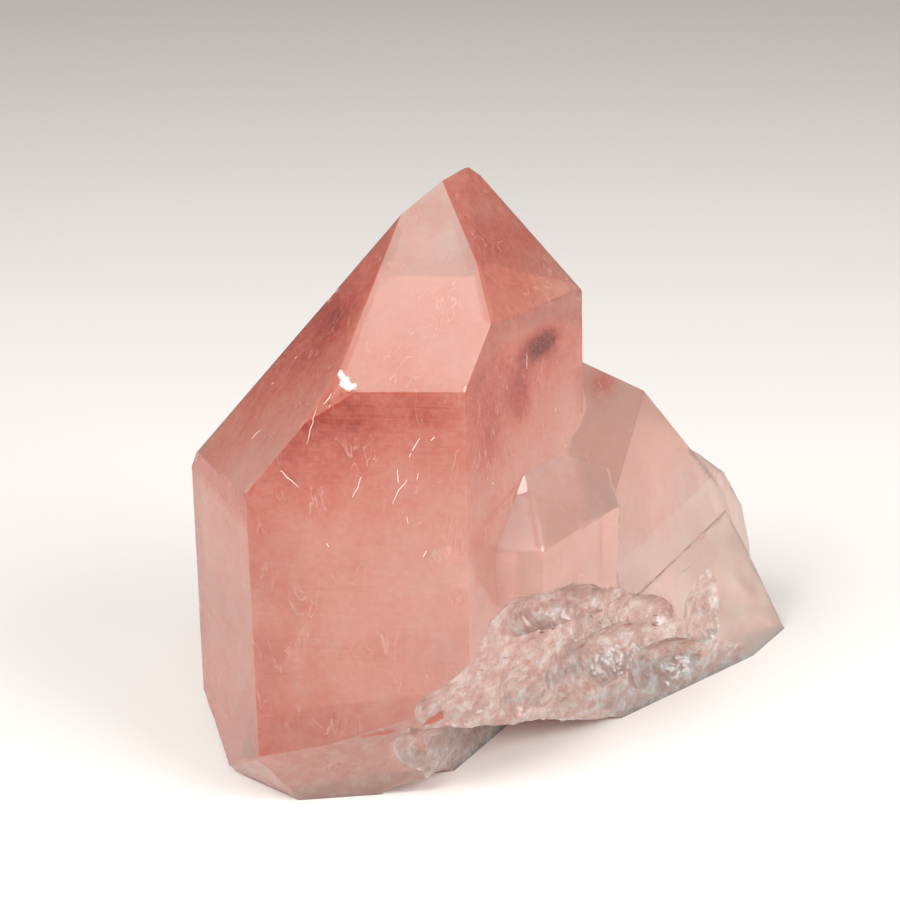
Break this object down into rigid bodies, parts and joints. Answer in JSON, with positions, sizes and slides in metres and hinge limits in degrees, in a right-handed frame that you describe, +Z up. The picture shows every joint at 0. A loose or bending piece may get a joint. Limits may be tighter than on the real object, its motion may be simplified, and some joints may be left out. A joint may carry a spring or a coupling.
{
  "type": "lemurian quartz point",
  "caption": "Pink quartz crystal with a pointed tip, a smaller crystal and a broken one grown on its side, and a rough broken root.",
  "frame": {"origin": "on the underside that the piece rests on, near the point below its centre of mass", "axes": "+Z up from the resting face along the crystals, -Y towards the large front face, +X towards the second crystal"},
  "size_m": [0.0586, 0.0387, 0.054],
  "materials": {
    "quartz": "natural crystal faces, milky inside"
  },
  "bodies": {
    "root": {"quartz_point": "quartz"}
  },
  "joints": []
}
